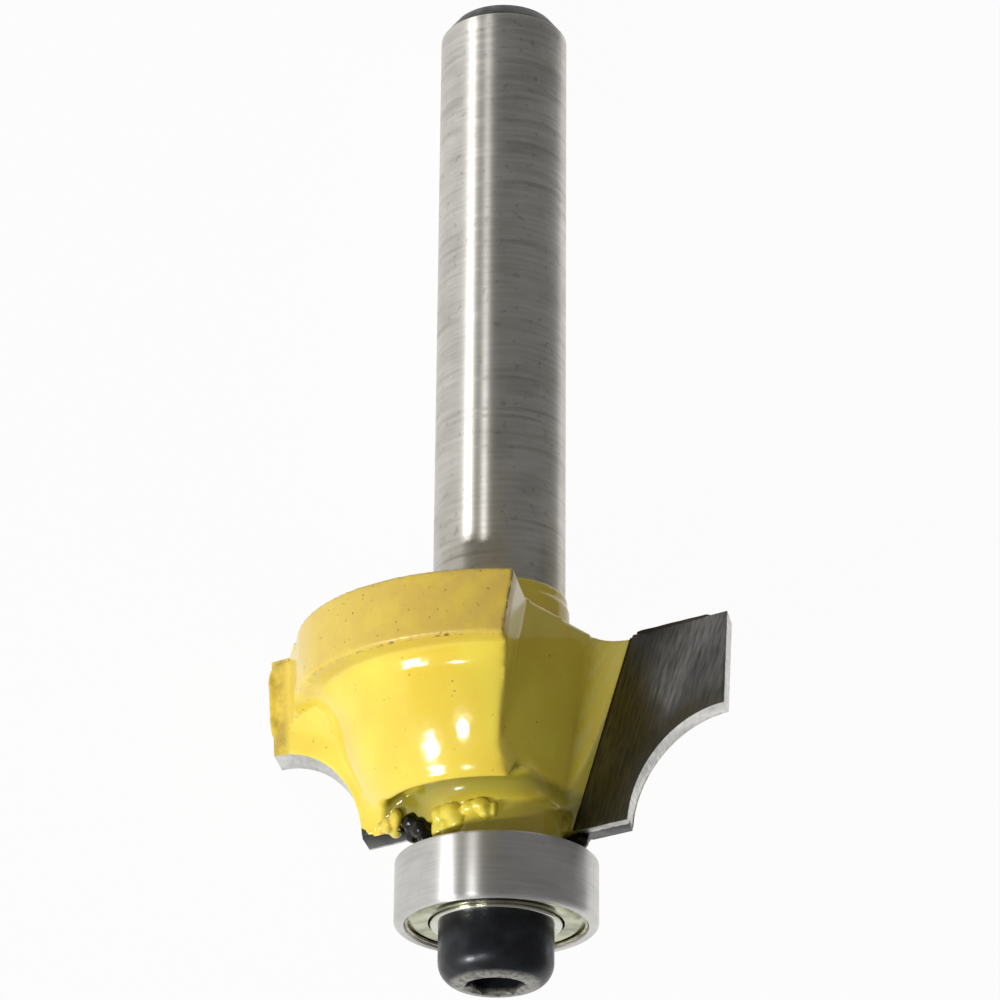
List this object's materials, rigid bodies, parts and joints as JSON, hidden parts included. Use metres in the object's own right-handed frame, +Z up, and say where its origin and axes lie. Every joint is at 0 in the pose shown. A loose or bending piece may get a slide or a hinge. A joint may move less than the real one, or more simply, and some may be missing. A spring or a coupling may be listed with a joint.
{
  "type": "rounding-over router bit",
  "caption": "Round-shank router bit whose carbide-tipped wings round over a board's edge while a guide bearing, held on by a cap screw, rolls along the wood.",
  "frame": {"origin": "centre of the shank's flat end face; the bit lies on its side on one carbide corner, the band's edge and the rim of the shank's end", "axes": "-Y along the bit from the shank towards the guide bearing, which lies a little higher, because the axis slopes up by 9.8 degrees; +Z up, one open gullet facing up; X across the bit"},
  "size_m": [0.0192, 0.0506, 0.0186],
  "materials": {
    "painted_steel": "glossy yellow enamel on the cutter head; the shank is bare ground steel",
    "carbide": "dark sintered carbide with lighter ground edges",
    "braze": "dull silver braze, browned by the flux",
    "black_steel": "black oxide, lightly oiled",
    "ring_steel": "finely ground bearing steel",
    "shield_steel": "thin pressed steel with a greenish film of grease",
    "clip_steel": "bright spring wire",
    "ball_steel": "polished bearing balls",
    "cage_nylon": "moulded natural nylon"
  },
  "bodies": {
    "cutter": {"cutter_body": "painted_steel", "carbide_tip_1": "carbide", "carbide_tip_2": "carbide", "braze_seam_1": "braze", "braze_seam_2": "braze", "cap_screw": "black_steel", "bearing_inner_ring": "ring_steel"},
    "outer_ring": {"bearing_outer_ring": "ring_steel", "bearing_shield_front": "shield_steel", "bearing_shield_rear": "shield_steel", "shield_clip_front": "clip_steel", "shield_clip_rear": "clip_steel"},
    "ball_train": {"ball_1": "ball_steel", "ball_2": "ball_steel", "ball_3": "ball_steel", "ball_4": "ball_steel", "ball_5": "ball_steel", "ball_6": "ball_steel", "ball_7": "ball_steel", "ball_8": "ball_steel", "ball_cage": "cage_nylon"}
  },
  "joints": [
    {"name": "outer_ring_spin", "type": "hinge", "parent": "cutter", "child": "outer_ring", "pos_m": [0, -0.04554, 0.0079], "axis": [0, -0.9853, 0.171], "continuous": true},
    {"name": "ball_train_spin", "type": "hinge", "parent": "cutter", "child": "ball_train", "pos_m": [0, -0.04554, 0.0079], "axis": [0, -0.9853, 0.171], "continuous": true}
  ],
  "couplings": [
    {"joint": "ball_train_spin", "follows": "outer_ring_spin", "ratio": 0.6113}
  ]
}
